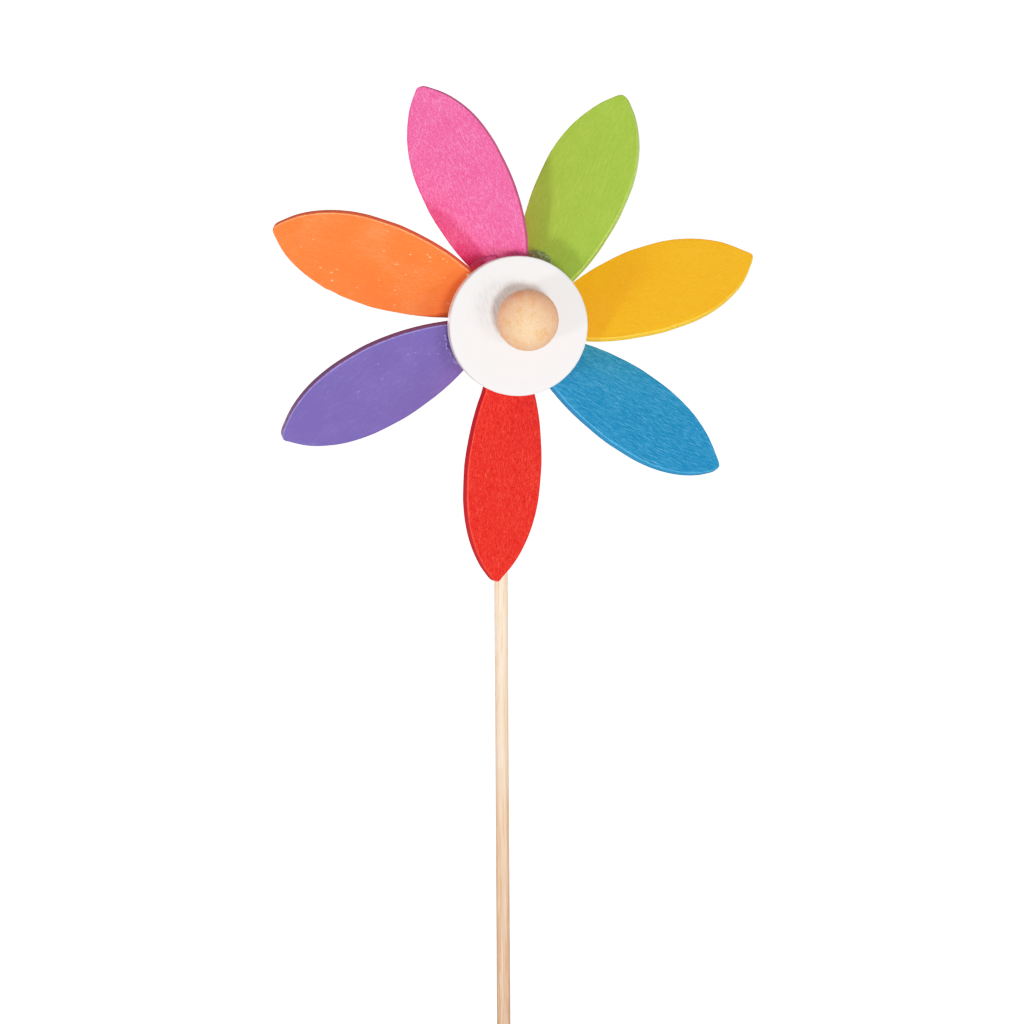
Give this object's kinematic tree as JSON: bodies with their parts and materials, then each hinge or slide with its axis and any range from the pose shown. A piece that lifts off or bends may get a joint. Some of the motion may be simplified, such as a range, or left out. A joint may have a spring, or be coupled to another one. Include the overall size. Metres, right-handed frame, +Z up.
{
  "type": "wind spinner",
  "caption": "Wooden garden wind spinner: coloured flat petals slanted in a round hub that spins on a pin between two balls, on a thin dowel stem.",
  "frame": {"origin": "centre of the flat foot of the stem", "axes": "+Z up along the stem, -Y towards the front of the rotor, +X to the right as seen from the front"},
  "size_m": [0.1763, 0.0754, 0.3864],
  "materials": {
    "stem_wood": "bare pale wood",
    "ball_wood": "bare beech, smooth",
    "core_wood": "bare beech",
    "bead_wood": "bare beech",
    "pin_steel": "bright drawn steel",
    "disc_white": "white painted wood, satin",
    "paint_red": "red stained and lacquered plywood, satin",
    "paint_purple": "purple painted plywood, satin",
    "paint_orange": "orange painted plywood, satin",
    "paint_pink": "pink painted plywood, satin",
    "paint_green": "green painted plywood, satin",
    "paint_yellow": "yellow painted plywood, satin",
    "paint_blue": "blue stained and lacquered plywood, satin"
  },
  "bodies": {
    "stand": {"stem": "stem_wood", "head_ball": "ball_wood", "pin": "pin_steel", "nose_ball": "ball_wood"},
    "rotor": {"hub_core": "core_wood", "hub_disc": "disc_white", "petal_red": "paint_red", "petal_purple": "paint_purple", "petal_orange": "paint_orange", "petal_pink": "paint_pink", "petal_green": "paint_green", "petal_yellow": "paint_yellow", "petal_blue": "paint_blue"},
    "bead": {"spacer_bead": "bead_wood"}
  },
  "joints": [
    {"name": "rotor_spin", "type": "hinge", "parent": "stand", "child": "rotor", "pos_m": [-0.0003, -0.03048, 0.3], "axis": [-0.0495, -0.9928, -0.1094], "continuous": true},
    {"name": "bead_spin", "type": "hinge", "parent": "stand", "child": "bead", "pos_m": [0, -0.01465, 0.3], "axis": [0, -1, 0], "continuous": true}
  ]
}
